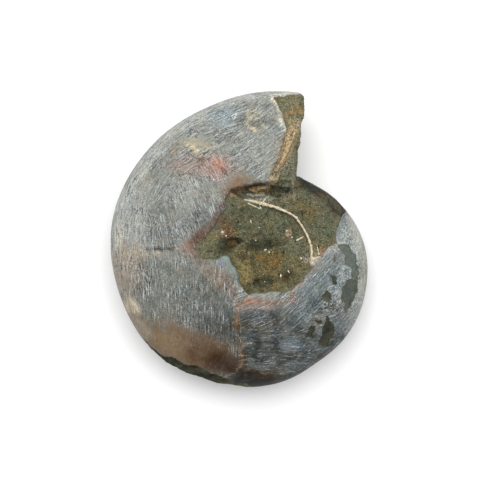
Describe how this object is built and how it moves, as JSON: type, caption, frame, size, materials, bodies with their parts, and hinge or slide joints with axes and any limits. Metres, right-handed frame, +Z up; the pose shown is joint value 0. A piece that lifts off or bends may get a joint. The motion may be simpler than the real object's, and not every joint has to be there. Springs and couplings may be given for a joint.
{
  "type": "ammonite fossil",
  "caption": "Coiled ammonite fossil lying on its side, with a broken mouth and a broken-open middle; a display stone or desk specimen.",
  "frame": {"origin": "centre of the bounding box on the surface that the fossil lies on", "axes": "+Z up out of the broken flank that faces the viewer, +Y along the length towards the mouth end, +X to the right in the view from above"},
  "size_m": [0.1029, 0.1185, 0.0402],
  "materials": {
    "shell": "ground grey shell, scratched, with tan and rust tints",
    "stone": "rough olive brown sediment stone with rust and pale grains",
    "calcite": "cream crystalline calcite vein"
  },
  "bodies": {
    "root": {"ammonite": "shell"}
  },
  "joints": []
}
